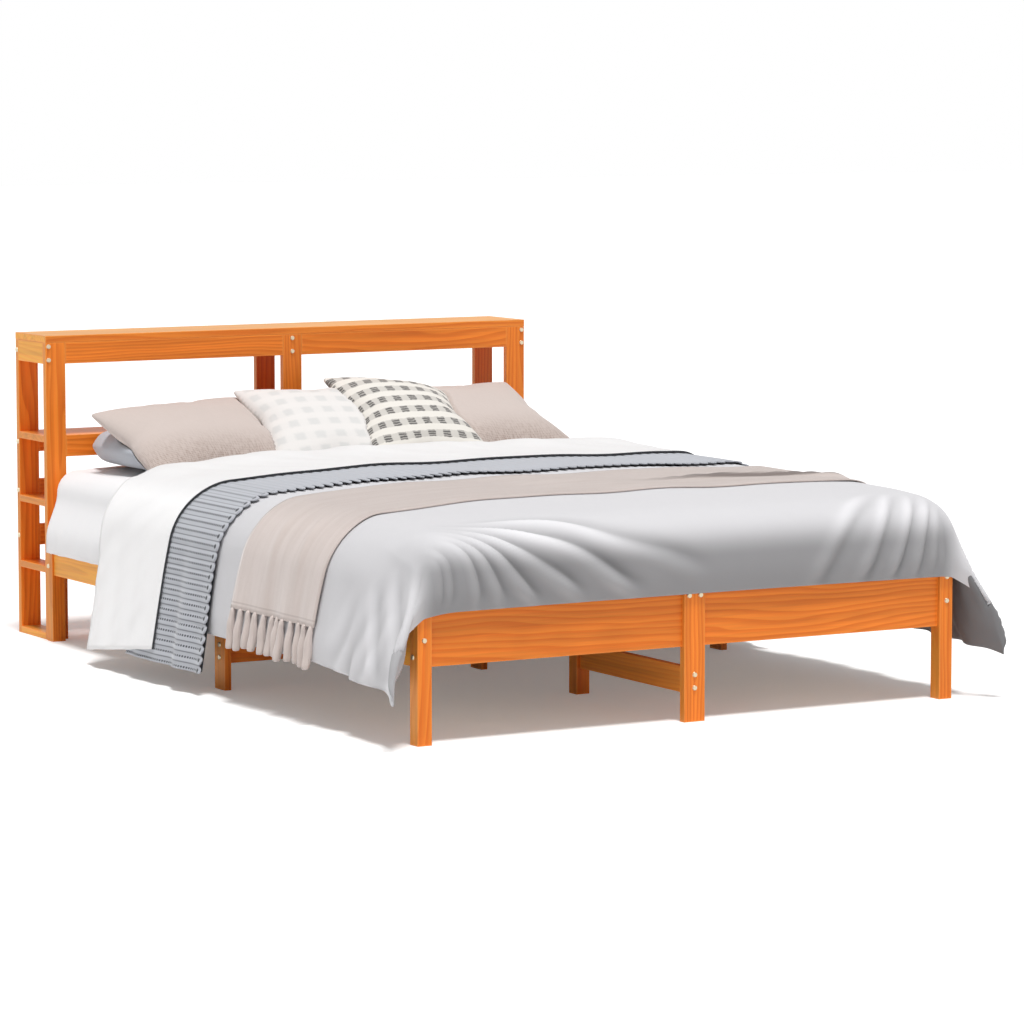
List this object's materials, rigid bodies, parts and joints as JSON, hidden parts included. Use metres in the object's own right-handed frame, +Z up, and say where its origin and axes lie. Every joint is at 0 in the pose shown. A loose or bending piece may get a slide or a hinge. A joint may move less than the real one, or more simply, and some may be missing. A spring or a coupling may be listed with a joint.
{
  "type": "bed",
  "caption": "Double bed of waxed pine with a bookcase headboard and slatted base, made up with mattress, duvet, blankets, throw and cushions.",
  "frame": {"origin": "on the floor, in the middle of the whole outline, bedding corners included", "axes": "+X to the right seen from the foot, +Y from the foot to the head, +Z up"},
  "size_m": [1.72, 2.3306, 0.81],
  "materials": {
    "waxed_pine": "honey wax, satin",
    "plain_pine": "planed, unfinished",
    "beech_dowel": "plain",
    "zinc_steel": "zinc plated",
    "mattress_cover": "quilted ticking",
    "white_cotton": "smooth woven cotton",
    "pale_blue_cotton": "smooth woven cotton",
    "grey_blue_knit": "chunky knit",
    "white_coverlet": "soft fleece, dark piped edge",
    "beige_wool": "fine wool",
    "slate_blue_linen": "linen",
    "taupe_linen": "linen",
    "pale_check": "woven check",
    "dark_check": "woven check"
  },
  "bodies": {
    "root": {"barrel_nuts": "zinc_steel", "bolts": "zinc_steel", "centre_beam": "waxed_pine", "centre_post": "waxed_pine", "centre_tie": "waxed_pine", "coverlet": "white_coverlet", "cross_stretcher_left": "waxed_pine", "cross_stretcher_right": "waxed_pine", "cushion_check": "dark_check", "cushion_light": "pale_check", "dowels": "beech_dowel", "duvet": "pale_blue_cotton", "fitted_sheet": "white_cotton", "floor_board_left": "waxed_pine", "floor_board_right": "waxed_pine", "foot_leg_centre": "waxed_pine", "foot_leg_left": "waxed_pine", "foot_leg_right": "waxed_pine", "foot_rail_left": "waxed_pine", "foot_rail_right": "waxed_pine", "foot_stretcher": "waxed_pine", "front_apron_left": "waxed_pine", "front_apron_right": "waxed_pine", "front_post_centre": "waxed_pine", "front_post_left": "waxed_pine", "front_post_right": "waxed_pine", "head_leg_left": "waxed_pine", "head_leg_right": "waxed_pine", "head_rail": "waxed_pine", "knitted_blanket": "grey_blue_knit", "mattress": "mattress_cover", "mid_leg_centre": "waxed_pine", "mid_leg_left": "waxed_pine", "mid_leg_right": "waxed_pine", "middle_shelf": "waxed_pine", "pillow_grey": "slate_blue_linen", "pillow_taupe_left": "taupe_linen", "pillow_taupe_right": "taupe_linen", "rear_apron": "waxed_pine", "rear_post_centre": "waxed_pine", "rear_post_left": "waxed_pine", "rear_post_right": "waxed_pine", "rear_rail_lower": "waxed_pine", "rear_rail_upper": "waxed_pine", "rear_shelf_rail": "waxed_pine", "rungs_left": "waxed_pine", "rungs_right": "waxed_pine", "screws": "zinc_steel", "shelf_rail_left": "waxed_pine", "shelf_rail_right": "waxed_pine", "side_apron_left": "waxed_pine", "side_apron_right": "waxed_pine", "side_rail_left": "waxed_pine", "side_rail_right": "waxed_pine", "slat_ledgers": "plain_pine", "slats": "plain_pine", "throw": "beige_wool", "throw_tassels": "beige_wool", "top_board": "waxed_pine"}
  },
  "joints": []
}
